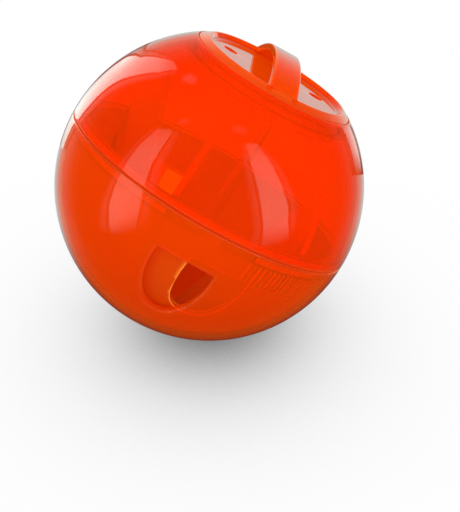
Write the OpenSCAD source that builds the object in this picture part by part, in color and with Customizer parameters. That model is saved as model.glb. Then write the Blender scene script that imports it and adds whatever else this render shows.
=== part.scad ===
/* [Ball] */
// Outer radius of the ball
ball_r = 38; // [34:0.5:42]
// Wall of the upper and lower shells
shell_t = 1.8; // [1.7:0.1:2]
// Open seam between the two halves
seam_gap = 0.3; // [0.2:0.05:0.4]

/* [Food bowl] */
// Wall of the food bowl that turns inside the lower shell
bowl_t = 1.6; // [1.4:0.1:1.8]
// Running gap between the lower shell and the food bowl
bowl_gap = 0.35; // [0.3:0.05:0.4]
// Height of the bowl's flange above the seam plane
flange_top = 1.6; // [1.2:0.1:2]
// How far the flange stands out of the bowl's wall
flange_out = 0.9; // [0.8:0.05:1]
// Clearance around the flange in the upper shell
flange_gap = 0.05; // [0.03:0.01:0.08]
// Thickness of the four vanes
vane_t = 1.6; // [1.2:0.1:2]
// Angle from the middle of a window to the vanes beside it
vane_angle = 31; // [29:1:35]
// Height of the vane tops above the seam plane
vane_top = 16.5; // [14:0.5:17]
// Width of the flat on top of a vane
vane_flat = 1.2; // [1:0.1:2]
// Radius where a vane's inner edge reaches the bowl's floor
vane_foot_r = 6; // [5:0.5:8]
// How far a vane is sunk into the bowl's wall
vane_sink = 0.4; // [0.3:0.1:0.6]

/* [Dispensing openings] */
// Width of an opening, and of the window behind it
opening_w = 16; // [14:0.5:17]
// Height of an opening from its straight top edge to its round end
opening_h = 18.8; // [17.5:0.1:19.5]
// Height of the window behind it, from the same top edge to a blunter end
window_h = 16.9; // [16.2:0.1:17.4]
// Radius of the bowed sides of an opening
opening_side_r = 26; // [24:0.5:30]
// Distance from the top edge down to the widest place
opening_wide_at = 2.9; // [2:0.1:4]
// Angle of an opening's middle below the seam plane
opening_lat = 29.7; // [28:0.1:31]

/* [Turn and click] */
// Direction of the bowl's first window, from the front (-Y) towards +X
window_at = 10; // [5:1:15]
// How far the lower shell stands from fully open, as drawn
rest_turn = 14.5; // [12:0.5:16]
// Whole turn of the lower shell, from closed to fully open
turn_range = 30; // [29:0.5:31]
// Angular width of a stop lug
lug_angle = 8; // [6:0.5:9]
// Direction of a stop lug, from the middle of its opening
lug_at = 4; // [3:0.5:5]
// Play left at each stop
stop_play = 0.4; // [0.3:0.1:0.6]
// How far the retaining rail stands out of the bowl's wall
rail_out = 0.65; // [0.6:0.05:0.7]
// Upper edge of the rail, below the seam plane
rail_top = 1.3; // [1.2:0.05:1.4]
// Height of the rail
rail_h = 1.4; // [1.2:0.05:1.5]
// Clearance around the rail in its groove
rail_gap = 0.3; // [0.25:0.05:0.35]
// Gap between a lug's tip and the bowl's wall
lug_gap = 0.2; // [0.15:0.05:0.25]
// Number of click notches beside each window
notch_n = 15; // [14:1:16]
// Angle from one notch to the next
notch_pitch = 2.5; // [2.4:0.05:2.6]
// Width of a notch
notch_w = 1; // [0.8:0.05:1.1]
// Depth of a notch
notch_depth = 0.5; // [0.4:0.05:0.6]
// Upper end of the notches, below the seam plane
notch_top = 3.4; // [3.3:0.1:3.8]
// Height of the notches
notch_h = 5.4; // [4.5:0.1:6]
// Direction of the middle notch, from the middle of its window
notch_at = 27; // [26:0.5:28]
// Radius of the click nib on the lower shell
nib_r = 0.9; // [0.8:0.05:1]
// Gap between the nib and the crests between the notches
nib_gap = 0.1; // [0.08:0.01:0.15]
// Angle of the nib below the seam plane
nib_lat = 9.5; // [9:0.5:10]

/* [Fill cap] */
// Radius of the cap
cap_r = 20.9; // [20:0.1:21.5]
// Groove around the cap
mouth_gap = 0.2; // [0.15:0.05:0.3]
// Thickness of the cap at its edge
cap_t = 1.5; // [1.4:0.1:1.7]
// Gap between the cap's edge and the ledge that it sits on
seat_gap = 0.1; // [0.05:0.05:0.15]
// Distance from the cap's edge in to the crest of the ridge around its recess
ridge_in = 2.2; // [2:0.1:2.5]
// Height of the ridge above the groove
ridge_h = 1.35; // [1.2:0.05:1.4]
// Distance from the ridge's crest in to the recess's flat floor
dish_slope = 1.2; // [0.9:0.1:1.7]
// Thickness of the recess's floor
floor_t = 1.5; // [1.4:0.1:1.8]
// Width of the cap's edge outside the plug under it
cap_lip = 2.3; // [2.1:0.1:2.6]
// Wall of the plug
plug_t = 1.5; // [1.3:0.1:1.8]
// Depth of the plug below the cap's edge
plug_h = 4.8; // [4.5:0.1:5.5]
// Radial clearance of the plug in the neck
plug_gap = 0.08; // [0.05:0.01:0.1]
// Wall of the shell's neck around the plug
neck_t = 1.6; // [1.4:0.1:1.8]
// Depth of the neck below the ledge
neck_h = 4.2; // [3.8:0.1:4.4]
// Thickness of the ledge
ledge_t = 1.7; // [1.6:0.1:2]
// Radius of the two vent holes in the recess
vent_r = 1.9; // [1.5:0.1:2.2]
// Distance of a vent hole from the handle's centre line
vent_x = 12; // [11.5:0.1:12.5]
// How far the vent holes lie behind the middle
vent_y = 3.5; // [3:0.1:4]

/* [Handle] */
// Width of the handle over the recess
handle_w = 7; // [6.5:0.1:8]
// Width of the handle at its feet
handle_foot_w = 7.8; // [7.6:0.1:9]
// Thickness of the handle
handle_t = 1.8; // [1.6:0.1:1.9]

/* [Hidden] */
$fn = 128;
plastic = [1, 0.24, 0.03, 0.85];
over = ball_r / 20;
far = ball_r * 2;
half_turn = 180;
sides = [0, half_turn];
shell_in_r = ball_r - shell_t;
bowl_r = shell_in_r - bowl_gap;
bowl_in_r = bowl_r - bowl_t;
flange_r = bowl_r + flange_out;
rail_r = bowl_r + rail_out;
rail_low = rail_top + rail_h;
groove_r = rail_r + rail_gap;
groove_top = rail_top - rail_gap;
groove_h = rail_h + 2 * rail_gap;
lug_r = bowl_r + lug_gap;
lug_root_r = (groove_r + ball_r) / 2;
opening_at = window_at - rest_turn;
closed_turn = turn_range - rest_turn;
slot_angle = turn_range + lug_angle + 2 * stop_play;
slot_at = opening_at + lug_at + (rest_turn - closed_turn) / 2;
nib_at = window_at + notch_at + (closed_turn - rest_turn) / 2;
mouth_r = cap_r + mouth_gap;
ridge_r = cap_r - ridge_in;
floor_r = ridge_r - dish_slope;
plug_r = cap_r - cap_lip;
rim_z = sqrt(pow(ball_r, 2) - pow(mouth_r, 2));
cap_low = rim_z - cap_t;
ledge_z = cap_low - seat_gap;
neck_r = plug_r + plug_gap;
handle_in_r = ball_r - handle_t;
handle_end_r = (cap_r + ridge_r) / 2;

// Turns its children from the front to a direction around the ball's axis
module around(angle) {
  rotate([0, 0, angle]) children();
}

// Sector of the plane around the front direction
module sector(angle) {
  half = angle / 2;
  polygon([[0, 0], [-far * sin(half), -far * cos(half)], [far * sin(half), -far * cos(half)]]);
}

// Flat ring with its lower face at low
module ring(outer_r, inner_r, low, height) {
  translate([0, 0, low]) difference() {
    cylinder(r = outer_r, h = height);
    translate([0, 0, -over]) cylinder(r = inner_r, h = height + 2 * over);
  }
}

// Everything above (side 1) or below (side -1) a level
module half_space(level, side) {
  translate([0, 0, level + (side > 0 ? 0 : -far)]) cylinder(r = far, h = far);
}

// Outline of an opening or a window: straight top edge, bowed sides and a round end
module opening_outline(height) {
  wide_y = opening_h / 2 - opening_wide_at;
  reach = height - opening_wide_at;
  offset_x = opening_side_r - opening_w / 2;
  squares = pow(opening_side_r, 2) - pow(offset_x, 2) - pow(reach, 2);
  end_r = squares / (2 * (opening_side_r - reach));
  end_y = end_r + opening_h / 2 - height;
  share = opening_side_r / (opening_side_r - end_r);
  touch_y = wide_y + (end_y - wide_y) * share;
  intersection() {
    translate([offset_x, wide_y]) circle(r = opening_side_r);
    translate([-offset_x, wide_y]) circle(r = opening_side_r);
    translate([-opening_w / 2, touch_y]) square([opening_w, opening_h / 2 - touch_y]);
  }
  translate([0, end_y]) circle(r = end_r);
}

// Prism of that outline, pointing out of the ball below the seam
module opening_cut(angle, height) {
  around(angle) rotate([90 + opening_lat, 0, 0])
    translate([0, 0, bowl_in_r - opening_h / 2]) linear_extrude(opening_h) opening_outline(height);
}

// Slot for one click notch, before the bowl's wall is given back behind it
module notch(angle) {
  around(angle) translate([-notch_w / 2, -far, -notch_top - notch_h]) cube([notch_w, far, notch_h]);
}

// Row of click notches, all of the same depth in the bowl's wall
module notches(middle) {
  difference() {
    for (i = [0 : notch_n - 1]) notch(middle + (i - (notch_n - 1) / 2) * notch_pitch);
    sphere(r = bowl_r - notch_depth);
  }
}

// Upright radial vane, widest at the bowl's floor
module vane(angle) {
  outer_r = bowl_in_r + vane_sink;
  top_r = sqrt(pow(outer_r, 2) - pow(vane_top, 2)) - vane_flat;
  intersection() {
    around(angle - 90) rotate([90, 0, 0]) translate([0, 0, -vane_t / 2]) linear_extrude(vane_t)
      polygon([[vane_foot_r, -bowl_in_r], [far, -bowl_in_r], [far, vane_top], [top_r, vane_top]]);
    sphere(r = outer_r);
  }
}

// Upper half of the outside, with the neck that the cap plugs into
module upper_shell() {
  color(plastic) difference() {
    union() {
      difference() {
        sphere(r = ball_r);
        sphere(r = shell_in_r);
      }
      intersection() {
        sphere(r = ball_r - shell_t / 2);
        union() {
          ring(far, neck_r, ledge_z - ledge_t, ledge_t);
          ring(neck_r + neck_t, neck_r, ledge_z - neck_h, neck_h);
        }
      }
    }
    half_space(seam_gap / 2, -1);
    translate([0, 0, -over]) cylinder(r = flange_r + flange_gap, h = flange_top + over);
    translate([0, 0, ledge_z]) cylinder(r = mouth_r, h = far);
    translate([0, 0, ledge_z - neck_h - over]) cylinder(r = neck_r, h = far);
  }
}

// Lower half of the outside, which turns to open and close
module lower_shell() {
  color(plastic) difference() {
    union() {
      difference() {
        sphere(r = ball_r);
        sphere(r = shell_in_r);
        ring(groove_r, lug_r, -groove_top - groove_h, groove_h);
      }
      for (side = sides) around(opening_at + lug_at + side) intersection() {
        ring(lug_root_r, lug_r, -groove_top - groove_h, groove_h);
        translate([0, 0, -far / 2]) linear_extrude(far) sector(lug_angle);
      }
      for (side = sides) around(nib_at + side) rotate([nib_lat, 0, 0])
        translate([0, -bowl_r - nib_gap - nib_r, 0]) sphere(r = nib_r);
    }
    half_space(-seam_gap / 2, 1);
    for (side = sides) opening_cut(opening_at + side, opening_h);
  }
}

// Inner bowl with the two windows, joined to the upper shell by its flange
module food_bowl() {
  color(plastic) {
    difference() {
      union() {
        difference() {
          sphere(r = bowl_r);
          half_space(seam_gap, 1);
        }
        ring(flange_r, bowl_in_r - over, seam_gap / 2, flange_top - seam_gap / 2);
        difference() {
          ring(rail_r, bowl_in_r - over, -rail_low, rail_h);
          for (side = sides) around(slot_at + side)
            translate([0, 0, -far / 2]) linear_extrude(far) sector(slot_angle);
        }
      }
      sphere(r = bowl_in_r);
      for (side = sides) {
        opening_cut(window_at + side, window_h);
        notches(window_at + notch_at + side);
      }
    }
    for (side = sides) for (way = [-1, 1]) vane(window_at + side + way * vane_angle);
  }
}

// Plan of the handle: a strip with bowed-in sides
module handle_plan() {
  foot_half = handle_foot_w / 2;
  sag = (handle_foot_w - handle_w) / 2;
  side_r = (pow(handle_end_r, 2) + pow(sag, 2)) / (2 * sag);
  difference() {
    translate([-foot_half, -handle_end_r]) square([handle_foot_w, 2 * handle_end_r]);
    for (way = [-1, 1]) translate([way * (side_r + handle_w / 2), 0]) circle(r = side_r);
  }
}

// Strip that bridges the recess along the ball's own curve
module handle() {
  intersection() {
    translate([0, 0, rim_z - floor_t / 2]) linear_extrude(far) handle_plan();
    cylinder(r = ridge_r, h = far);
    rotate([0, 90, 0]) difference() {
      cylinder(r = ball_r, h = far, center = true);
      cylinder(r = handle_in_r, h = 2 * far, center = true);
    }
  }
}

// Plug-in cap with its recess, vent holes and bridging handle
module fill_cap() {
  color(plastic) {
    difference() {
      rotate_extrude() polygon([
        [0, rim_z], [floor_r, rim_z], [ridge_r, rim_z + ridge_h], [cap_r, rim_z],
        [cap_r, cap_low], [plug_r, cap_low], [plug_r, cap_low - plug_h],
        [plug_r - plug_t, cap_low - plug_h], [plug_r - plug_t, rim_z - floor_t], [0, rim_z - floor_t]
      ]);
      for (way = [-1, 1]) translate([way * vent_x, vent_y, cap_low - over])
        cylinder(r = vent_r, h = far);
    }
    handle();
  }
}

upper_shell();
lower_shell();
food_bowl();
fill_cap();
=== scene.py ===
# %% [markdown]
# This lesson dresses a imported CAD model: a hollow dispensing ball that a pet rolls about. The CAD model is
# the frame. It gives every piece its place and says which pieces move together. All the looks are added here.
# We load the frame first.

# %% Load the frame
from math import asin, atan2, cos, degrees, pi, radians, sin, sqrt, tau

import bmesh
import bpy
from mathutils import Matrix, Vector


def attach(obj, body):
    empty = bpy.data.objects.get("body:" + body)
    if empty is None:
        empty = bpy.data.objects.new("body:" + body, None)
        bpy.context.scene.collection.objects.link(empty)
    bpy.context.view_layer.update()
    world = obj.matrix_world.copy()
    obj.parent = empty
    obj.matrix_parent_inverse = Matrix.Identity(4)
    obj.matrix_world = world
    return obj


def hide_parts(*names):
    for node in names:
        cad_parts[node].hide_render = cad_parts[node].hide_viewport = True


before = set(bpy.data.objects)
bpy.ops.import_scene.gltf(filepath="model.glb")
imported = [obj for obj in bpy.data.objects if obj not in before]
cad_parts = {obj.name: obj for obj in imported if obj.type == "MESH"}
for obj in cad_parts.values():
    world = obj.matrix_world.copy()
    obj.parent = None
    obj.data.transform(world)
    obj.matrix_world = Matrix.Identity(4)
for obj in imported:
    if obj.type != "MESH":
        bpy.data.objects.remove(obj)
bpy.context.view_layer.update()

scene = bpy.context.scene
MM = 0.001

# %% [markdown]
# These are the real sizes of the ball in metres. They repeat what the CAD model was built from, because each
# new piece has to lie exactly where its CAD solid lies. A ball of this kind is two outer halves with a bowl
# inside that belongs to the upper half. The lower half turns around the bowl. Names in _AT are directions
# from the front, in degrees around the axis, and names in _LAT are angles below the seam. OPENING_WIDE_DROP
# says how far under its top edge an opening is widest.

# %% Sizes of the ball
BALL_R = 38 * MM
SHELL_IN_R = BALL_R - 1.8 * MM
SEAM_HALF = 0.15 * MM
BOWL_R = SHELL_IN_R - 0.35 * MM
BOWL_IN_R = BOWL_R - 1.6 * MM
FLANGE_R = BOWL_R + 0.9 * MM
FLANGE_TOP = 1.6 * MM
RAIL_R = BOWL_R + 0.65 * MM
RAIL_TOP, RAIL_LOW = -1.3 * MM, -2.7 * MM
VANE_T, VANE_TOP, VANE_FLAT, VANE_FOOT_R = 1.6 * MM, 16.5 * MM, 1.2 * MM, 6 * MM
VANE_OUT_R = BOWL_IN_R + 0.4 * MM
VANE_ANGLE = 31
NOTCHES, NOTCH_PITCH = 15, 2.5
NOTCH_TOP, NOTCH_LOW, NOTCH_W, NOTCH_DEPTH = -3.4 * MM, -8.8 * MM, 1 * MM, 0.5 * MM
REBATE_R = FLANGE_R + 0.05 * MM
GROOVE_R = BOWL_R + 0.95 * MM
GROOVE_TOP, GROOVE_LOW = -1 * MM, -3 * MM
LUG_R = BOWL_R + 0.2 * MM
LUG_ANGLE = 8
NIB_R, NIB_GAP = 0.9 * MM, 0.1 * MM
NIB_LAT = 9.5
OPENING_W, OPENING_H, WINDOW_H = 16 * MM, 18.8 * MM, 16.9 * MM
OPENING_SIDE_R = 26 * MM
OPENING_WIDE_DROP = 2.9 * MM
OPENING_LAT = 29.7
OPENING_AT = -4.5
WINDOW_AT = 10
LUG_AT = OPENING_AT + 4
SLOT_AT, SLOT_ANGLE = -1, 38.8
NIB_AT = 37.5
NOTCH_AT = WINDOW_AT + 27
CAP_R = 20.9 * MM
MOUTH_R = CAP_R + 0.2 * MM
RIM_Z = sqrt(BALL_R**2 - MOUTH_R**2)
CAP_LOW = RIM_Z - 1.5 * MM
RIDGE_R, RIDGE_H = 18.7 * MM, 1.35 * MM
DISH_R = 17.5 * MM
PLUG_R, PLUG_T, PLUG_H = 18.6 * MM, 1.5 * MM, 4.8 * MM
DISH_T = 1.5 * MM
LEDGE_Z = CAP_LOW - 0.1 * MM
LEDGE_T = 1.7 * MM
NECK_R, NECK_T, NECK_H = PLUG_R + 0.08 * MM, 1.6 * MM, 4.2 * MM
VENT_R, VENT_X, VENT_Y = 1.9 * MM, 12 * MM, 3.5 * MM
HANDLE_W, HANDLE_FOOT_W, HANDLE_T = 7 * MM, 7.8 * MM, 1.8 * MM
HANDLE_END = 18.9 * MM
print(f"ball {2 * BALL_R / MM:.0f} mm across, its mouth at {RIM_Z / MM:.1f} mm above the seam")

# %% [markdown]
# The camera comes before the pieces, because everything is judged through it. In the photograph the ball has
# rolled over: its axis leans to the right and a little towards the viewer. The frame keeps the axis upright,
# so it is the camera that leans. Three directions are enough to describe it. FRONT points from the ball
# to the camera, RIGHT and ABOVE lie along the picture's sides. AIM moves the ball off the picture's centre.

# %% Camera
VIEW_TURN, VIEW_LIFT, VIEW_ROLL = radians(-11.5), radians(13.4), radians(30.9)
level = Vector((sin(VIEW_TURN), -cos(VIEW_TURN), 0))
side = Vector((cos(VIEW_TURN), sin(VIEW_TURN), 0))
axis = Vector((0, 0, 1))
FRONT = (level * cos(VIEW_LIFT) + axis * sin(VIEW_LIFT)).normalized()
tall = (axis * cos(VIEW_LIFT) - level * sin(VIEW_LIFT)).normalized()
ABOVE = (tall * cos(VIEW_ROLL) - side * sin(VIEW_ROLL)).normalized()
RIGHT = (side * cos(VIEW_ROLL) + tall * sin(VIEW_ROLL)).normalized()
DISTANCE = 15.5 * BALL_R
FOCAL_MM = 168.5
AIM = (RIGHT * 0.1336 - ABOVE * 0.4526) * BALL_R

camera_data = bpy.data.cameras.new("camera")
camera_data.lens = FOCAL_MM
camera_data.sensor_width = 36
camera = bpy.data.objects.new("camera", camera_data)
scene.collection.objects.link(camera)
scene.camera = camera
backwards = (FRONT * DISTANCE - AIM).normalized()
rightwards = ABOVE.cross(backwards).normalized()
camera.matrix_world = Matrix.Translation(FRONT * DISTANCE) @ Matrix(
    (rightwards, backwards.cross(rightwards), backwards)
).transposed().to_4x4()
print("camera at", [round(c, 3) for c in camera.location], "leaning", round(degrees(VIEW_ROLL), 1), "degrees")

# %% [markdown]
# The ball's two halves are shapes of revolution, so each starts as its cross-section. The section's arcs are
# sampled from circles, its corners are rounded with a vertex bevel, and one full spin makes the wall. A spin
# keeps both skins of the wall concentric, which a sphere with a Solidify modifier wouldn't do at the seam.

# %% Helpers for turned shapes
AROUND = 192
MERGE = 0.001 * MM
FULL_EDGE, SHARP_EDGE = radians(12), radians(38)
LEAD = 80


def arc(radius, start, end, steps):
    """Points (r, z) on a circle around the centre, from one angle above the seam to another, in degrees."""
    angles = [radians(start + (end - start) * i / steps) for i in range(steps + 1)]
    return [(radius * cos(a), radius * sin(a)) for a in angles]


def lift(radius, z):
    """Angle above the seam, in degrees, of the point at height z on a circle of that radius."""
    return degrees(asin(z / radius))


def round_corners(bm, points, radius):
    """Rounds the corners of an outline at the given points."""
    bmesh.ops.bevel(bm, geom=points, offset=radius, affect="VERTICES", segments=4, profile=0.5, material=-1)


def turned(outline, rounds, steps=AROUND, angle=tau, start=0.0):
    """A solid spun around Z from an outline of (r, z) points. rounds maps a point's index to its radius."""
    bm = bmesh.new()
    points = [bm.verts.new((r, 0, z)) for r, z in outline]
    for a, b in zip(points, points[1:] + points[:1]):
        bm.edges.new((a, b))
    for index, radius in rounds.items():
        round_corners(bm, [points[index]], radius)
    bmesh.ops.rotate(bm, verts=bm.verts, matrix=Matrix.Rotation(start, 3, "Z"))
    full = angle >= tau
    if not full:
        bmesh.ops.contextual_create(bm, geom=bm.edges[:])
    section = bm.verts[:] + bm.edges[:] + bm.faces[:]
    bmesh.ops.spin(bm, geom=section, axis=(0, 0, 1), angle=angle, steps=steps, use_merge=full)
    bmesh.ops.remove_doubles(bm, verts=bm.verts, dist=MERGE)
    bmesh.ops.recalc_face_normals(bm, faces=bm.faces)
    return bm


def make(name, bm):
    """A new object from a bmesh, linked to the scene, at the origin."""
    mesh = bpy.data.meshes.new(name)
    bm.to_mesh(mesh)
    bm.free()
    piece = bpy.data.objects.new(name, mesh)
    scene.collection.objects.link(piece)
    return piece


def combine(piece, other, operation):
    """Cuts other from piece, or adds it, and leaves one plain mesh."""
    cut = piece.modifiers.new("combine", "BOOLEAN")
    cut.operation, cut.object, cut.solver = operation, other, "EXACT"
    solid = bpy.data.meshes.new_from_object(piece.evaluated_get(bpy.context.evaluated_depsgraph_get()))
    piece.modifiers.remove(cut)
    piece.data = solid
    bpy.data.objects.remove(other)
    return piece


def mark_edges(piece):
    """Stores how sharply the surface turns at each point, as the attribute "edge": 1 outward, -1 inward."""
    bm = bmesh.new()
    bm.from_mesh(piece.data)
    edge = bm.verts.layers.float.new("edge")
    for v in bm.verts:
        turns = [e.calc_face_angle_signed(0) for e in v.link_edges]
        v[edge] = max(-1, min(1, (max(turns) + min(turns)) / FULL_EDGE))
    bm.to_mesh(piece.data)
    bm.free()


def finish_surface(piece):
    """Smooth shading, with the large faces leading at rounded edges so that highlights stay clean."""
    mark_edges(piece)
    for face in piece.data.polygons:
        face.use_smooth = True
    piece.data.set_sharp_from_angle(angle=SHARP_EDGE)
    lead = piece.modifiers.new("lead", "WEIGHTED_NORMAL")
    lead.keep_sharp = True
    lead.weight = LEAD
    print(f"{piece.name}: {len(piece.data.vertices)} points, {len(piece.data.polygons)} faces")
    return piece


# %% [markdown]
# The upper half runs from the seam to the mouth. Inside the mouth are a ledge and a short neck that the cap's
# plug goes into, and inside the seam is a rebate for the bowl's flange. The corners that a finger can feel
# get a radius of about a quarter of a millimetre, as a polished mould gives them.

# %% Upper shell
neck_low = LEDGE_Z - NECK_H
under_ledge = LEDGE_Z - LEDGE_T
outer_skin = arc(BALL_R, lift(BALL_R, SEAM_HALF), lift(BALL_R, RIM_Z), 44)
ledge_and_neck = [
    (MOUTH_R, LEDGE_Z),
    (NECK_R, LEDGE_Z),
    (NECK_R, neck_low),
    (NECK_R + NECK_T, neck_low),
    (NECK_R + NECK_T, under_ledge),
]
inner_skin = arc(SHELL_IN_R, lift(SHELL_IN_R, under_ledge), lift(SHELL_IN_R, FLANGE_TOP), 36)
rebate = [(REBATE_R, FLANGE_TOP), (REBATE_R, SEAM_HALF)]
mouth = len(outer_skin) - 1
from_mouth = enumerate((0.25, 0.3, 0.2, 0.3, 0.3, 0.4, 0.4), start=mouth)
upper_rounds = {0: 0.3 * MM} | {point: radius * MM for point, radius in from_mouth} | {-1: 0.15 * MM}
upper_outline = outer_skin + ledge_and_neck + inner_skin + rebate
upper = finish_surface(make("upper_half", turned(upper_outline, upper_rounds)))
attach(upper, "top")
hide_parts("upper_shell")

# %% [markdown]
# A dispensing opening is a straight top edge, two slightly bowed sides and a round end. The moulded edge is
# rounded on both skins. Instead of rounding it after the cut, we cut with a tool that already flares: each
# ring of the tool is the same outline a little larger, laid on a sphere of its own radius. Where it leaves
# the wall it meets the skins at a shallow angle, so the cut comes out with a soft lip. FLARE gives each
# ring's growth and its rise over the skin, as shares of the lip's size.

# %% Tool that cuts an opening
FLARE = [(2.2, 0.9), (1.0, 0.1), (0.42, -0.1), (0.13, -0.35), (0.02, -0.7), (0.0, -1.2)]
TOOL_RISE = 3 * MM
CORNER = 0.6 * MM
SIDE_STEPS, END_STEPS = 18, 30


def outline_chain(bm, height):
    """Draws an opening's outline in the XY plane by swinging one vertex around the centres of its arcs."""
    wide_y = OPENING_H / 2 - OPENING_WIDE_DROP
    reach = height - OPENING_WIDE_DROP
    offset_x = OPENING_SIDE_R - OPENING_W / 2
    end_r = (OPENING_SIDE_R**2 - offset_x**2 - reach**2) / (2 * (OPENING_SIDE_R - reach))
    end_y = end_r + OPENING_H / 2 - height
    top_x = sqrt(OPENING_SIDE_R**2 - OPENING_WIDE_DROP**2) - offset_x
    fall = atan2(wide_y - end_y, offset_x)
    side = asin(OPENING_WIDE_DROP / OPENING_SIDE_R) + fall
    point = bm.verts.new((top_x, OPENING_H / 2, 0))
    swings = [
        ((-offset_x, wide_y, 0), side, SIDE_STEPS),
        ((0, end_y, 0), pi - 2 * fall, END_STEPS),
        ((offset_x, wide_y, 0), side, SIDE_STEPS),
    ]
    for centre, angle, steps in swings:
        made = bmesh.ops.spin(bm, geom=[point], cent=centre, axis=(0, 0, -1), angle=angle, steps=steps)
        point = next(item for item in made["geom_last"] if isinstance(item, bmesh.types.BMVert))
    bmesh.ops.remove_doubles(bm, verts=bm.verts, dist=MERGE)
    ends = [v for v in bm.verts if len(v.link_edges) == 1]
    bm.edges.new(ends)
    round_corners(bm, ends, CORNER)


def opening_tool(angle, height, outer, inner, inset):
    """A plug with an opening's outline. outer and inner are each a skin's radius and the size of its lip."""
    bm = bmesh.new()
    outline_chain(bm, height)
    rings = [(share * outer[1] - inset, outer[0] + rise * outer[1]) for share, rise in FLARE]
    rings += [(share * inner[1] - inset, inner[0] - rise * inner[1]) for share, rise in reversed(FLARE)]
    flat = {v: v.co.copy() for v in bm.verts}
    top = loop = bm.edges[:]
    for number, (grow, radius) in enumerate(rings):
        if number:
            made = bmesh.ops.extrude_edge_only(bm, edges=loop)["geom"]
            loop = [item for item in made if isinstance(item, bmesh.types.BMEdge)]
            near = {v: min(flat, key=lambda f: (f.co.xy - v.co.xy).length) for e in loop for v in e.verts}
            flat = {v: flat[old] for v, old in near.items()}
        for v, home in flat.items():
            v.co.xy = home.xy * (1 + grow / (OPENING_W / 2))
            v.co.z = sqrt(radius**2 - v.co.x**2 - v.co.y**2)
    bmesh.ops.translate(bm, verts=list({v for e in top for v in e.verts}), vec=(0, 0, TOOL_RISE))
    for edges in (top, loop):
        bmesh.ops.contextual_create(bm, geom=edges)
    bmesh.ops.recalc_face_normals(bm, faces=bm.faces)
    turn = Matrix.Rotation(radians(angle), 4, "Z") @ Matrix.Rotation(radians(90 + OPENING_LAT), 4, "X")
    bmesh.ops.transform(bm, verts=bm.verts, matrix=turn)
    return make("opening_tool", bm)


# %% [markdown]
# The lower half is spun the same way, with the groove that the bowl's rail runs in. Two stop lugs bridge that
# groove, and two small nibs ride over the bowl's notches and make it click. They are joined to the wall with
# a Boolean, because all of them are one moulding, and the two openings are cut last.

# %% Lower shell
OUTER_LIP, INNER_LIP, LIP_INSET = 0.6 * MM, 0.25 * MM, 0.3 * MM
lower_outline = (
    arc(BALL_R, -lift(BALL_R, SEAM_HALF), -90, 60)
    + arc(SHELL_IN_R, -90, lift(SHELL_IN_R, GROOVE_LOW), 56)
    + [(GROOVE_R, GROOVE_LOW), (GROOVE_R, GROOVE_TOP)]
    + arc(SHELL_IN_R, lift(SHELL_IN_R, GROOVE_TOP), -lift(SHELL_IN_R, SEAM_HALF), 1)
)
lower_rounds = {0: 0.3 * MM, -5: 0.2 * MM, -2: 0.2 * MM, -1: 0.2 * MM}
lower = make("lower_half", turned(lower_outline, lower_rounds))


def toward(angle, lat=0.0):
    """Unit vector from the ball's centre, by direction from the front and lift over the seam, in degrees."""
    a, b = radians(angle), radians(lat)
    return Vector((sin(a) * cos(b), -cos(a) * cos(b), sin(b)))


for turn in (0, 180):
    lug_root = (GROOVE_R + BALL_R) / 2
    lug_outline = [(LUG_R, GROOVE_LOW), (lug_root, GROOVE_LOW), (lug_root, GROOVE_TOP), (LUG_R, GROOVE_TOP)]
    first = radians(LUG_AT + turn - LUG_ANGLE / 2 - 90)
    lug = make("lug", turned(lug_outline, {0: 0.15 * MM, 3: 0.15 * MM}, 8, radians(LUG_ANGLE), first))
    combine(lower, lug, "UNION")
    bm = bmesh.new()
    bmesh.ops.create_uvsphere(bm, u_segments=24, v_segments=16, radius=NIB_R)
    nib_place = toward(NIB_AT + turn, -NIB_LAT) * (BOWL_R + NIB_GAP + NIB_R)
    bmesh.ops.translate(bm, verts=bm.verts, vec=nib_place)
    combine(lower, make("nib", bm), "UNION")
    outer, inner = (BALL_R, OUTER_LIP), (SHELL_IN_R, INNER_LIP)
    combine(lower, opening_tool(OPENING_AT + turn, OPENING_H, outer, inner, LIP_INSET), "DIFFERENCE")
finish_surface(lower)
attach(lower, "base")
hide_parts("lower_shell")

# %% [markdown]
# The inner bowl is a third shell inside the other two. Its flange is trapped in the upper half, its rail runs
# in the lower half's groove between the stop lugs, and a row of shallow notches beside each window makes the
# clicks. The four vanes are flat plates whose outer edge follows the ball, so each one is drawn as an outline
# in a plane through the axis and given its thickness.

# %% Inner bowl
WINDOW_LIP, WINDOW_INSET = 0.3 * MM, 0.1 * MM
VANE_ROUND = 0.25 * MM
bowl_outline = (
    [(sqrt(BOWL_IN_R**2 - FLANGE_TOP**2), FLANGE_TOP), (FLANGE_R, FLANGE_TOP), (FLANGE_R, SEAM_HALF)]
    + arc(BOWL_R, lift(BOWL_R, SEAM_HALF), -90, 60)
    + arc(BOWL_IN_R, -90, lift(BOWL_IN_R, FLANGE_TOP / 2), 58)
)
bowl = make("bowl", turned(bowl_outline, {0: 0.3 * MM, 1: 0.15 * MM, 2: 0.15 * MM}))


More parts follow.
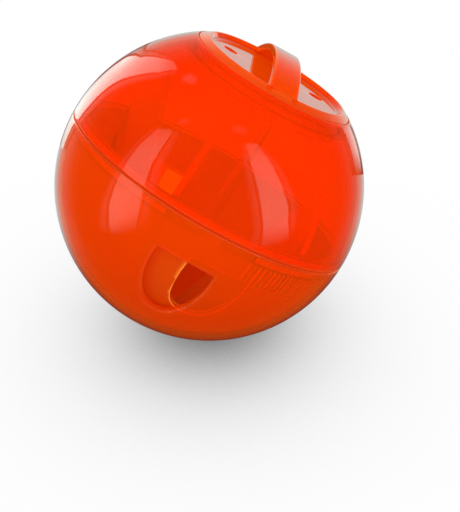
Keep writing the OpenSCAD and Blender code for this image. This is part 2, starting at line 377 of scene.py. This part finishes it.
def vane(angle):
    """One plate of the bowl, at a direction from the front."""
    top_r = sqrt(VANE_OUT_R**2 - VANE_TOP**2)
    foot = degrees(atan2(-sqrt(VANE_OUT_R**2 - VANE_FOOT_R**2), VANE_FOOT_R))
    outline = arc(VANE_OUT_R, lift(VANE_OUT_R, VANE_TOP), foot, 40) + [(top_r - VANE_FLAT, VANE_TOP)]
    bm = bmesh.new()
    face = bm.faces.new([bm.verts.new((r, -VANE_T / 2, z)) for r, z in outline])
    made = bmesh.ops.extrude_face_region(bm, geom=[face])
    moved = [item for item in made["geom"] if isinstance(item, bmesh.types.BMVert)]
    bmesh.ops.translate(bm, verts=moved, vec=(0, VANE_T, 0))
    bmesh.ops.recalc_face_normals(bm, faces=bm.faces)
    square = [e for e in bm.edges if e.calc_face_angle(0) > radians(60)]
    rims = [e for e in square if abs(e.verts[0].co.y - e.verts[1].co.y) < VANE_T / 2]
    bmesh.ops.bevel(bm, geom=rims, offset=VANE_ROUND, affect="EDGES", segments=3, profile=0.5, material=-1)
    bmesh.ops.rotate(bm, verts=bm.verts, matrix=Matrix.Rotation(radians(angle - 90), 3, "Z"))
    return make("vane", bm)


for turn in (0, 180):
    rail_root = (BOWL_R + BOWL_IN_R) / 2
    rail_outline = [(RAIL_R, RAIL_LOW), (rail_root, RAIL_LOW), (rail_root, RAIL_TOP), (RAIL_R, RAIL_TOP)]
    first = radians(SLOT_AT + turn + SLOT_ANGLE / 2 - 90)
    rail = turned(rail_outline, {0: 0.15 * MM, 3: 0.15 * MM}, 72, radians(180 - SLOT_ANGLE), first)
    combine(bowl, make("rail", rail), "UNION")
    for way in (-1, 1):
        combine(bowl, vane(WINDOW_AT + turn + way * VANE_ANGLE), "UNION")
    outer, inner = (BOWL_R, WINDOW_LIP), (BOWL_IN_R, WINDOW_LIP)
    combine(bowl, opening_tool(WINDOW_AT + turn, WINDOW_H, outer, inner, WINDOW_INSET), "DIFFERENCE")
    deep = BOWL_R - NOTCH_DEPTH
    notch_outline = arc(deep, lift(deep, NOTCH_LOW), lift(deep, NOTCH_TOP), 8)
    notch_outline += [(BALL_R, NOTCH_TOP), (BALL_R, NOTCH_LOW)]
    notches = bmesh.new()
    for i in range(NOTCHES):
        middle = NOTCH_AT + turn + (i - (NOTCHES - 1) / 2) * NOTCH_PITCH
        wide = NOTCH_W / BOWL_R
        cut = turned(notch_outline, {0: 0.25 * MM, 8: 0.25 * MM}, 2, wide, radians(middle - 90) - wide / 2)
        one = bpy.data.meshes.new("notch")
        cut.to_mesh(one)
        notches.from_mesh(one)
    combine(bowl, make("notches", notches), "DIFFERENCE")
finish_surface(bowl)
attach(bowl, "top")
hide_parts("food_bowl")

# %% [markdown]
# The cap is a dished plug with a low ridge around it. Its section is spun like the shells, then the two vent
# holes are drilled. The handle is a strip with a rounded section that follows the ball's own curve, so its
# section is spun around the X axis, and each ring is then drawn in towards the middle to give it a waist.

# %% Fill cap
PLUG_IN_R, PLUG_LOW = PLUG_R - PLUG_T, CAP_LOW - PLUG_H
DISH_LOW = RIM_Z - DISH_T
HANDLE_ROUND = 0.45 * MM
cap_outline = [
    (0, RIM_Z), (DISH_R - 1 * MM, RIM_Z), (DISH_R, RIM_Z), (RIDGE_R, RIM_Z + RIDGE_H), (CAP_R, RIM_Z),
    (CAP_R, CAP_LOW), (PLUG_R, CAP_LOW), (PLUG_R, PLUG_LOW), (PLUG_IN_R, PLUG_LOW), (PLUG_IN_R, DISH_LOW),
    (DISH_R * 0.5, DISH_LOW), (0, DISH_LOW),
]
from_dish = enumerate((0.5, 0.35, 0.2, 0.2, 0.2, 0.4, 0.4, 0.5), start=2)
cap_rounds = {point: radius * MM for point, radius in from_dish}
cap = make("cap", turned(cap_outline, cap_rounds))
for way in (-1, 1):
    drill = bmesh.new()
    bmesh.ops.create_cone(drill, cap_ends=True, segments=48, radius1=VENT_R, radius2=VENT_R, depth=8 * MM)
    bmesh.ops.translate(drill, verts=drill.verts, vec=(way * VENT_X, VENT_Y, RIM_Z))
    combine(cap, make("drill", drill), "DIFFERENCE")

bm = bmesh.new()
bmesh.ops.create_grid(bm, x_segments=1, y_segments=1, size=0.5)
bmesh.ops.scale(bm, verts=bm.verts, vec=(HANDLE_FOOT_W, HANDLE_T, 1))
bmesh.ops.rotate(bm, verts=bm.verts, matrix=Matrix.Rotation(pi / 2, 3, "X"))
bmesh.ops.translate(bm, verts=bm.verts, vec=(0, 0, BALL_R - HANDLE_T / 2))
round_corners(bm, bm.verts[:], HANDLE_ROUND)
long_sides = [e for e in bm.edges if e.calc_length() > HANDLE_W / 2]
bmesh.ops.subdivide_edges(bm, edges=long_sides, cuts=7)
handle_half = asin(HANDLE_END / BALL_R)
bmesh.ops.rotate(bm, verts=bm.verts, matrix=Matrix.Rotation(-handle_half, 3, "X"))
section = bm.faces[:] + bm.edges[:] + bm.verts[:]
bmesh.ops.spin(bm, geom=section, axis=(1, 0, 0), angle=2 * handle_half, steps=48)
for v in bm.verts:
    share = min(1, abs(v.co.y) / HANDLE_END)
    v.co.x *= (HANDLE_W + (HANDLE_FOOT_W - HANDLE_W) * share**2) / HANDLE_FOOT_W
bmesh.ops.recalc_face_normals(bm, faces=bm.faces)
combine(cap, make("handle", bm), "UNION")
finish_surface(cap)
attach(cap, "cap")
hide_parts("fill_cap")

# %% [markdown]
# Clear coloured plastic is the look of this object. Real glass shading would have to bend light through eight
# skins, which is slow and noisy. A thin wall bends what is behind it very little, so we let part of the light
# straight through instead, tinted, and shade the rest as dyed plastic. A weak steady painted glow, an
# emission, is mixed in for the light that such plastic gathers and gives back. Five tones follow: the dye
# above the seam and below it, painted light inside the bowl, a painted highlight on outward edges and painted
# shade in corners.

# %% Plastic
def node(tree, kind, links=None, **values):
    """A shader node with its settings and input values, fed from other nodes' sockets."""
    made = tree.nodes.new(kind)
    for key, value in values.items():
        if key.startswith("in_"):
            made.inputs[key[3:].replace("_", " ")].default_value = value
        else:
            setattr(made, key, value)
    for name, source in (links or {}).items():
        tree.links.new(source, made.inputs[name])
    return made


def fresh(material):
    """The emptied node tree of a material or a world."""
    material.use_nodes = True
    material.node_tree.nodes.clear()
    return material.node_tree


def calculate(tree, operation, first, second):
    """One Math node. Each of its two values is a number or a socket."""
    made = node(tree, "ShaderNodeMath", operation=operation)
    for socket, value in zip(made.inputs, (first, second)):
        if isinstance(value, (int, float)):
            socket.default_value = value
        else:
            tree.links.new(value, socket)
    return made.outputs["Value"]


# A Mix node has sockets for each kind of data. These are the ones for colours.
COLOUR_A, COLOUR_B, COLOUR_RESULT = 6, 7, 2


def toned(tree, colour, tone, share):
    """A colour, given as a socket or as three numbers, mixed with a fixed tone."""
    made = node(tree, "ShaderNodeMix", {"Factor": share}, data_type="RGBA")
    if isinstance(colour, tuple):
        made.inputs[COLOUR_A].default_value = (*colour, 1)
    else:
        tree.links.new(colour, made.inputs[COLOUR_A])
    made.inputs[COLOUR_B].default_value = (*tone, 1)
    return made.outputs[COLOUR_RESULT]


# %% [markdown]
# The dye is a faint cloud of the first tone, and every other tone is laid over it where it belongs. The edge
# tones, a painted highlight on outward edges and painted shade in corners, use the attribute "edge" that each
# piece got when its surface was finished. A surface seen at a slant turns deeper in colour: partly the real
# depth of plastic behind it, partly painted shade towards the outline.

# %% Dye with painted highlight and shade
CLOUD_DEPTHS = (0.75, 1.3)
# Deeper towards the outline: partly real depth of plastic, partly painted shade.
SLANT_SHADE_ORANGE = (0.25, 0.02, 0.0004)
EDGE_SHARE = 0.8


def dye_and_painted_light(tree, place, facing, edge, tones, seed):
    """The colour that a plastic scatters: its tones above and below the seam and inside, a painted highlight
    at rims, and painted shade in corners and at a slant.
    """
    cloud = node(tree, "ShaderNodeTexNoise", {"Vector": place}, in_Scale=55 + seed, in_Detail=3)
    shade = node(tree, "ShaderNodeValToRGB", {"Fac": cloud.outputs["Fac"]})
    red, green, blue = tones["above"]
    for stop, depth in zip(shade.color_ramp.elements, CLOUD_DEPTHS):
        stop.color = (red, green * depth, blue, 1)
    height = node(tree, "ShaderNodeSeparateXYZ", {"Vector": place}).outputs["Z"]
    colour = toned(tree, shade.outputs["Color"], tones["below"], calculate(tree, "LESS_THAN", height, 0))
    # Inside the bowl this tone is a paler painted light; the shells and the cap keep their dye there.
    from_centre = node(tree, "ShaderNodeVectorMath", {0: place}, operation="LENGTH").outputs["Value"]
    within = calculate(tree, "LESS_THAN", from_centre, (BOWL_R + BOWL_IN_R) / 2)
    colour = toned(tree, colour, tones["inside"], within)
    # Painted shade towards the outline, where the surface is seen at a slant.
    colour = toned(tree, colour, SLANT_SHADE_ORANGE, calculate(tree, "POWER", facing, 3))
    # A painted highlight on outward edges and painted shade in inward corners.
    for way, tone in ((1, tones["rim_highlight"]), (-1, tones["corner_shade"])):
        reach = calculate(tree, "MAXIMUM", calculate(tree, "MULTIPLY", edge, way), 0)
        share = calculate(tree, "MULTIPLY", calculate(tree, "POWER", reach, 3), EDGE_SHARE)
        colour = toned(tree, colour, tone, share)
    return colour


# %% [markdown]
# A wall that is seen edge-on has more plastic in the way, so less light passes. The true law would be a power
# of one over the cosine, but it closes the view long before the outline, and every detail inside would be
# lost there. So the power starts late, with the fourth power of the slant, and stays limited at the very
# outline. Edges can also be made to stop a share of the light, which makes thin details inside readable.

# %% Passing light
SLANT_GAIN, LEAST_COSINE = 2.6, 0.04


def passing_share(tree, facing, edge, passing, solid):
    """The share of light that one skin lets through, from the share that passes head-on."""
    cosine = calculate(tree, "MAXIMUM", calculate(tree, "SUBTRACT", 1, facing), LEAST_COSINE)
    slant = calculate(tree, "MULTIPLY", calculate(tree, "POWER", facing, 4), SLANT_GAIN)
    longer = calculate(tree, "DIVIDE", slant, cosine)
    share = calculate(tree, "POWER", passing, calculate(tree, "ADD", 1, longer))
    stopped = calculate(tree, "MULTIPLY", calculate(tree, "ABSOLUTE", edge, 0), solid)
    return calculate(tree, "MULTIPLY", share, calculate(tree, "SUBTRACT", 1, stopped))


# %% [markdown]
# Both parts meet in one material. The polish is a clear coat over a body with a warm gloss of its own, and
# both work on outward hits only, because gloss on the inward side of every skin would fog the view inside. A
# faint ripple in the normal keeps the reflections from looking drawn with a ruler.

# %% Clear plastic
WARM_GLOSS = (1.0, 0.3, 0.1)
# Painted glow: a steady emission mixed into every skin, standing in for light the plastic gathers and gives
# back.
PAINTED_GLOW, PAINTED_GLOW_LEVEL, PAINTED_GLOW_SHARE = (1.0, 0.07, 0.0004), 0.6, 0.3


def clear_plastic(name, tones, tint, passing, seed, solid=0, painted_glow=0):
    """Clear coloured plastic whose colour holds painted light and shade. One skin lets through the share
    passing of the light that meets it head-on, tinted with tint. The share solid of it stops at an edge, and
    the last argument is the strength of a painted glow."""
    material = bpy.data.materials.new(name)
    tree = fresh(material)
    place = node(tree, "ShaderNodeTexCoord").outputs["Object"]
    noise = node(tree, "ShaderNodeTexNoise", {"Vector": place}, in_Scale=160 + seed, in_Detail=1)
    ripple = {"Height": noise.outputs["Fac"]}
    bump = node(tree, "ShaderNodeBump", ripple, in_Strength=0.03, in_Distance=0.0004)
    facing = node(tree, "ShaderNodeLayerWeight", in_Blend=0.5).outputs["Facing"]
    edge = node(tree, "ShaderNodeAttribute", attribute_name="edge").outputs["Fac"]
    outside = calculate(tree, "SUBTRACT", 1, node(tree, "ShaderNodeNewGeometry").outputs["Backfacing"])
    # The body's emission is a painted glow in the colour above the seam, as strong as the last argument.
    body = node(
        tree, "ShaderNodeBsdfPrincipled", {
            "Base Color": dye_and_painted_light(tree, place, facing, edge, tones, seed),
            "Normal": bump.outputs["Normal"],
            "Coat Weight": outside,
            "Specular IOR Level": calculate(tree, "MULTIPLY", outside, 0.5),
        },
        in_Roughness=0.07, in_IOR=1.5, in_Specular_Tint=(*WARM_GLOSS, 1), in_Coat_Roughness=0.04,
        in_Coat_IOR=1.5, in_Emission_Color=(*tones["above"], 1), in_Emission_Strength=painted_glow,
    )
    # Painted glow, mixed into the body at a fixed share.
    glow = node(tree, "ShaderNodeEmission", in_Color=(*PAINTED_GLOW, 1), in_Strength=PAINTED_GLOW_LEVEL)
    body_and_glow = node(tree, "ShaderNodeMixShader", in_Fac=PAINTED_GLOW_SHARE)
    tree.links.new(body.outputs["BSDF"], body_and_glow.inputs[1])
    tree.links.new(glow.outputs["Emission"], body_and_glow.inputs[2])
    window = node(tree, "ShaderNodeBsdfTransparent", in_Color=(*tint, 1))
    wall = node(tree, "ShaderNodeMixShader", {"Fac": passing_share(tree, facing, edge, passing, solid)})
    tree.links.new(body_and_glow.outputs["Shader"], wall.inputs[1])
    tree.links.new(window.outputs["BSDF"], wall.inputs[2])
    node(tree, "ShaderNodeOutputMaterial", {"Surface": wall.outputs["Shader"]})
    return material


def dress(piece, material):
    """Gives a piece one material."""
    piece.data.materials.clear()
    piece.data.materials.append(material)


# %% [markdown]
# The whole ball comes from one dye, but each piece shows it differently. The lower half leans to orange. The
# bowl sits in the shade of the shell, so its outside is painted deeper as shade, its inside paler as painted
# light, and its edges stand out with a painted highlight and painted shade. The cap is a single layer over
# bright air, so it passes a more yellow light and gets a little painted glow.

# %% Three plastics
ORANGE = (1.0, 0.1, 0.0004)
# Painted shade: the bowl's outside is deeper because the shell shades it.
SHADED_ORANGE = (0.65, 0.05, 0.0004)
# Painted light: the bowl's inside is paler.
INNER_LIT_ORANGE = (0.75, 0.35, 0.03)
LOW_ORANGE = (1.0, 0.155, 0.0004)
# Painted highlight on outward edges.
RIM_HIGHLIGHT_ORANGE = (1.0, 0.2, 0.03)
# Painted shade in inward corners.
CORNER_SHADE_ORANGE = (0.4, 0.03, 0.0004)
TINT = (1.0, 0.22, 0.02)
CAP_TINT = (1.0, 0.3, 0.01)
cap_tones = {
    "above": ORANGE, "below": ORANGE, "inside": ORANGE, "rim_highlight": RIM_HIGHLIGHT_ORANGE, "corner_shade": CORNER_SHADE_ORANGE,
}
shell_tones = cap_tones | {"below": LOW_ORANGE}
bowl_tones = {
    "above": SHADED_ORANGE, "below": SHADED_ORANGE, "inside": INNER_LIT_ORANGE,
    # The bowl's painted highlight on its edges and painted shade in its corners and notches.
    "rim_highlight": (1.0, 0.3, 0.04), "corner_shade": (0.05, 0.005, 0.0001),
}
shell_plastic = clear_plastic("clear_orange_shell", shell_tones, TINT, passing=0.8, seed=0)
bowl_plastic = clear_plastic("clear_orange_bowl", bowl_tones, TINT, passing=0.42, seed=7, solid=0.9)
# The cap gets a small painted glow.
cap_plastic = clear_plastic("clear_orange_cap", cap_tones, CAP_TINT, passing=0.6, seed=13, painted_glow=0.18)
dress(upper, shell_plastic)
dress(lower, shell_plastic)
dress(cap, cap_plastic)
dress(bowl, bowl_plastic)
print("plastics:", [m.name for m in bpy.data.materials if m.name.startswith("clear")])

# %% [markdown]
# Around the ball the studio is white, and the room behind the camera is dark. Glossy plastic needs both: the
# white gives the ball its pale outline, and the dark room leaves its middle the full colour. The dark side
# reaches a little further down than up. Sheet and backdrop share one rule for that, so no edge between them
# shows in the gloss. What gloss sees is slightly cool, because white over this dye would look pink.

# %% Brightness of the studio
def slope(tree, value, ends, levels):
    """A smooth step of a value: the first level up to one end, the second from the other on."""
    step = node(tree, "ShaderNodeMapRange", {"Value": value}, interpolation_type="SMOOTHSTEP")
    for name, number in zip(("From Min", "From Max", "To Min", "To Max"), (*ends, *levels)):
        step.inputs[name].default_value = number
    return step.outputs["Result"]


def along(tree, vector, direction):
    """How far a vector reaches in a direction."""
    reach = node(tree, "ShaderNodeVectorMath", {0: vector}, operation="DOT_PRODUCT")
    reach.inputs[1].default_value = direction
    return reach.outputs["Value"]


DARK_SIDE = (FRONT - ABOVE * 0.2).normalized()
DARK_ENDS, DARK_LEVELS = (-0.95, -0.32), (0.93, 0.045)
WHITE, COOL = (1.0, 1.0, 1.0), (0.58, 1.0, 0.98)


def studio_light(tree, direction):
    """What gloss sees in a direction from the ball: white behind and above it, dark in front."""
    return slope(tree, along(tree, direction, DARK_SIDE), DARK_ENDS, DARK_LEVELS)


def blend(tree, factor, first, second):
    """One Mix node of two numbers or sockets."""
    made = node(tree, "ShaderNodeMix", {"Factor": factor})
    for name, value in {"A": first, "B": second}.items():
        if isinstance(value, (int, float)):
            made.inputs[name].default_value = value
        else:
            tree.links.new(value, made.inputs[name])
    return made.outputs["Result"]


# %% [markdown]
# The ball lies on a white sheet, but in its own frame it stands upright, so the sheet is tilted under it.
# Light comes from all sides, so a shadow is simply the part of the light that the ball hides from a point of
# the sheet. The Ambient Occlusion node measures that. Its normal leans back, away from the camera, because
# most of the light comes from there. The shadow fades out at a distance, so that the rest of the sheet stays
# white. Gloss sees the sheet under the ball but no further back, so that the light boxes behind the ball can
# show in it. The sheet's underside lets the camera look through.

# %% Floor
FLOOR_LIFT = radians(39)
UP = (ABOVE * cos(FLOOR_LIFT) + FRONT * sin(FLOOR_LIFT)).normalized()
AHEAD = (FRONT * cos(FLOOR_LIFT) - ABOVE * sin(FLOOR_LIFT)).normalized()
LEAN = radians(25)
SHEET_R = 1.5
SHADOW_REACH = 85 * MM
GLOSS_AHEAD, GLOSS_ENDS = 40 * MM, (50 * MM, 100 * MM)
SHADOW_ENDS = (150 * MM, 250 * MM)


def staged(name, bm):
    """A new object for the studio, made just as make makes any piece."""
    thing = make(name, bm)
    return thing


bm = bmesh.new()
bmesh.ops.create_circle(bm, cap_ends=True, segments=96, radius=SHEET_R)
bmesh.ops.rotate(bm, verts=bm.verts, matrix=UP.to_track_quat("Z", "Y").to_matrix())
bmesh.ops.translate(bm, verts=bm.verts, vec=-UP * BALL_R)
floor = staged("floor", bm)
paper = bpy.data.materials.new("white_paper")
tree = fresh(paper)
place = node(tree, "ShaderNodeTexCoord").outputs["Object"]
path = node(tree, "ShaderNodeLightPath")
in_gloss = path.outputs["Is Glossy Ray"]
lean = node(tree, "ShaderNodeCombineXYZ")
for socket, value in zip(lean.inputs, UP * cos(LEAN) - AHEAD * sin(LEAN)):
    socket.default_value = value
leaning = {"Normal": lean.outputs["Vector"]}
seen_light = node(tree, "ShaderNodeAmbientOcclusion", leaning, samples=16, in_Distance=SHADOW_REACH)
spot = node(tree, "ShaderNodeVectorMath", {0: place}, operation="DISTANCE")
spot.inputs[1].default_value = AHEAD * GLOSS_AHEAD - UP * BALL_R
from_spot = spot.outputs["Value"]
near = slope(tree, from_spot, SHADOW_ENDS, (1, 0))
hidden = calculate(tree, "MULTIPLY", calculate(tree, "SUBTRACT", 1, seen_light.outputs["AO"]), near)
level = calculate(tree, "SUBTRACT", 1, calculate(tree, "POWER", hidden, 2))
from_ball = node(tree, "ShaderNodeVectorMath", {0: place}, operation="NORMALIZE").outputs["Vector"]
gloss = blend(tree, in_gloss, 1.0, studio_light(tree, from_ball))
strength = calculate(tree, "MULTIPLY", level, gloss)
lit = node(tree, "ShaderNodeEmission", {"Strength": strength, "Color": toned(tree, WHITE, COOL, in_gloss)})
underside = node(tree, "ShaderNodeNewGeometry").outputs["Backfacing"]
under = calculate(tree, "MULTIPLY", underside, path.outputs["Is Camera Ray"])
far = slope(tree, from_spot, GLOSS_ENDS, (0, 1))
unseen = calculate(tree, "MAXIMUM", under, calculate(tree, "MULTIPLY", far, in_gloss))
sheet = node(tree, "ShaderNodeMixShader", {"Fac": unseen})
tree.links.new(lit.outputs["Emission"], sheet.inputs[1])
tree.links.new(node(tree, "ShaderNodeBsdfTransparent").outputs["BSDF"], sheet.inputs[2])
node(tree, "ShaderNodeOutputMaterial", {"Surface": sheet.outputs["Shader"]})
dress(floor, paper)
print(f"sheet {2 * SHEET_R:.0f} m across, its shadow gone {SHADOW_ENDS[1] / MM:.0f} mm from the ball")

# %% [markdown]
# The backdrop is the world. The camera sees it as plain white, gloss sees the same white and dark room as in
# the sheet, and everything else is lit by a soft light that is a little stronger from above.

# %% World
OVERHEAD_ENDS, OVERHEAD_LEVELS = (-0.6, 1), (1.12, 1.65)
world = bpy.data.worlds.new("studio")
scene.world = world
tree = fresh(world)
path = node(tree, "ShaderNodeLightPath")
in_gloss = path.outputs["Is Glossy Ray"]
towards = node(tree, "ShaderNodeTexCoord").outputs["Generated"]
overhead = slope(tree, along(tree, towards, UP), OVERHEAD_ENDS, OVERHEAD_LEVELS)
soft = blend(tree, in_gloss, overhead, studio_light(tree, towards))
strength = blend(tree, path.outputs["Is Camera Ray"], soft, 1.0)
sky = node(tree, "ShaderNodeBackground", {"Strength": strength, "Color": toned(tree, WHITE, COOL, in_gloss)})
node(tree, "ShaderNodeOutputWorld", {"Surface": sky.outputs["Background"]})
print("backdrop:", world.name)

# %% [markdown]
# A glossy ball shows its studio, so the soft boxes stand where their reflections say. A sphere mirrors
# what lies along the view turned about its surface, and that gives the direction of each box's edges.
# Each box is a ribbon between two such edges, given as seen from the ball: to the right, up and to the front
# of the picture. Beyond each edge come a dim gap and a faint band that fades out, because the real wall's
# inner skin mirrors the box once more. BOXES holds each box's strength, its distance from the ball in metres,
# and its rows. The cap's flat dish would mirror two of the boxes whole, so light linking keeps them off it.

# %% Soft boxes
BOXES = {
    "box_left": (8.8, 0.9, [
        (0.5, 0.5, (-0.55, 0.62, 0.55), (-0.40, 0.62, 0.67)),
        (1.0, 1.0, (-0.81, 0.34, 0.48), (-0.53, 0.46, 0.71)),
        (1.0, 1.0, (-0.93, 0.06, 0.36), (-0.68, 0.21, 0.71)),
        (1.1, 1.1, (-0.96, -0.17, 0.22), (-0.74, -0.03, 0.67)),
        (0.9, 0.9, (-0.93, -0.34, 0.13), (-0.77, -0.26, 0.58)),
        (0.0, 0.0, (-0.89, -0.45, 0.07), (-0.77, -0.47, 0.42)),
    ]),
    "box_right": (10.0, 0.9, [
        (0.5, 0.5, (0.53, 0.48, 0.70), (0.42, 0.49, 0.76)),
        (0.9, 0.9, (0.69, 0.26, 0.68), (0.49, 0.27, 0.83)),
        (1.0, 1.0, (0.79, 0.02, 0.61), (0.56, 0.02, 0.83)),
        (1.1, 1.1, (0.84, -0.21, 0.51), (0.60, -0.23, 0.76)),
        (1.0, 1.0, (0.81, -0.38, 0.43), (0.61, -0.46, 0.65)),
        (0.0, 0.0, (0.79, -0.54, 0.29), (0.56, -0.67, 0.49)),
    ]),
    "box_back_left": (8.0, 1.2, [
        (0.0, 0.3, (-0.18, 0.05, -0.98), (-0.51, 0.13, -0.85)),
        (0.08, 0.5, (-0.20, 0.12, -0.97), (-0.55, 0.26, -0.80)),
        (0.1, 0.7, (-0.20, 0.16, -0.96), (-0.60, 0.31, -0.74)),
        (0.12, 0.8, (-0.24, 0.23, -0.94), (-0.61, 0.41, -0.68)),
        (0.15, 0.85, (-0.24, 0.30, -0.92), (-0.59, 0.50, -0.64)),
        (0.2, 0.9, (-0.24, 0.34, -0.91), (-0.56, 0.57, -0.59)),
        (0.3, 0.95, (-0.24, 0.37, -0.90), (-0.54, 0.65, -0.53)),
        (0.5, 1.0, (-0.34, 0.63, -0.70), (-0.50, 0.78, -0.38)),
        (0.7, 1.0, (-0.32, 0.80, -0.50), (-0.40, 0.89, -0.22)),
        (0.4, 0.4, (-0.26, 0.91, -0.31), (-0.26, 0.96, -0.14)),
    ]),
    "box_back_right": (1.8, 1.2, [
        (0.8, 0.8, (0.40, 0.18, -0.90), (0.67, 0.33, -0.67)),
        (1.0, 1.0, (0.41, 0.15, -0.90), (0.66, 0.25, -0.71)),
        (1.0, 1.0, (0.42, 0.10, -0.90), (0.67, 0.17, -0.72)),
        (0.0, 0.0, (0.40, 0.03, -0.92), (0.67, 0.05, -0.74)),
    ]),
    "spot_top": (3.0, 1.0, [
        (0.0, 0.0, (-0.25, 0.97, 0.02), (-0.21, 0.98, -0.04)),
        (1.0, 1.0, (-0.24, 0.97, 0.08), (-0.16, 0.99, 0.02)),
        (0.9, 0.9, (-0.20, 0.97, 0.15), (-0.12, 0.99, 0.09)),
        (0.0, 0.0, (-0.13, 0.97, 0.22), (-0.10, 0.98, 0.16)),
    ]),
    "spot_left": (2.0, 1.0, [
        (0.0, 0.0, (-0.36, 0.70, 0.62), (-0.34, 0.73, 0.59)),
        (1.0, 1.0, (-0.33, 0.69, 0.64), (-0.28, 0.74, 0.61)),
        (0.8, 0.8, (-0.26, 0.70, 0.67), (-0.23, 0.74, 0.63)),
        (0.0, 0.0, (-0.22, 0.71, 0.67), (-0.20, 0.74, 0.65)),
    ]),
    "spot_right": (2.0, 1.0, [
        (0.0, 0.0, (0.25, 0.68, 0.69), (0.28, 0.70, 0.65)),
        (1.0, 1.0, (0.27, 0.63, 0.73), (0.34, 0.67, 0.66)),
        (0.8, 0.8, (0.35, 0.59, 0.72), (0.40, 0.64, 0.66)),
        (0.0, 0.0, (0.42, 0.57, 0.71), (0.45, 0.60, 0.66)),
    ]),
}
ACROSS = [
    (-0.5, 0), (-0.16, 0.3), (-0.13, 0.05), (-0.04, 0.05), (0, 1), (0.5, 1), (1, 1), (1.04, 0.05),
    (1.13, 0.05), (1.16, 0.3), (1.5, 0),
]
OFF_THE_CAP = ("box_right", "box_back_left")


def soft_box(name, strength, distance, rows):
    """A glowing ribbon that the camera can't see. A row has its two edges' light and their directions."""
    bm = bmesh.new()
    shine = bm.verts.layers.float.new("shine")
    before = None
    for first_light, last_light, *edges in rows:
        first, last = [(RIGHT * x + ABOVE * y + FRONT * z).normalized() for x, y, z in edges]
        line = [bm.verts.new(first.lerp(last, part).normalized() * distance) for part, _ in ACROSS]
        for v, (part, share) in zip(line, ACROSS):
            v[shine] = share * (first_light + (last_light - first_light) * max(0, min(1, part)))
        if before:
            for i in range(len(line) - 1):
                bm.faces.new((before[i], before[i + 1], line[i + 1], line[i]))
        before = line
    panel = staged(name, bm)
    panel.visible_camera = False
    light = bpy.data.materials.new(name)
    tree = fresh(light)
    share = node(tree, "ShaderNodeAttribute", attribute_name="shine").outputs["Fac"]
    glow = calculate(tree, "MULTIPLY", share, strength)
    lamp = node(tree, "ShaderNodeEmission", {"Strength": glow}, in_Color=(*COOL, 1))
    node(tree, "ShaderNodeOutputMaterial", {"Surface": lamp.outputs["Emission"]})
    dress(panel, light)


for name, (strength, distance, rows) in BOXES.items():
    soft_box(name, strength, distance, rows)
shaded = bpy.data.collections.new("kept_off_the_cap")
shaded.objects.link(cap)
shaded.collection_objects[0].light_linking.link_state = "EXCLUDE"
for name in OFF_THE_CAP:
    bpy.data.objects[name].light_linking.receiver_collection = shaded
print("soft boxes:", len(BOXES))

# %% [markdown]
# Last come the settings. A ray through the whole ball crosses eight skins and often the
# cap, so the limit on transparent bounces goes up.

# %% Settings
scene.view_settings.view_transform = "Standard"
scene.cycles.transparent_max_bounces = 20
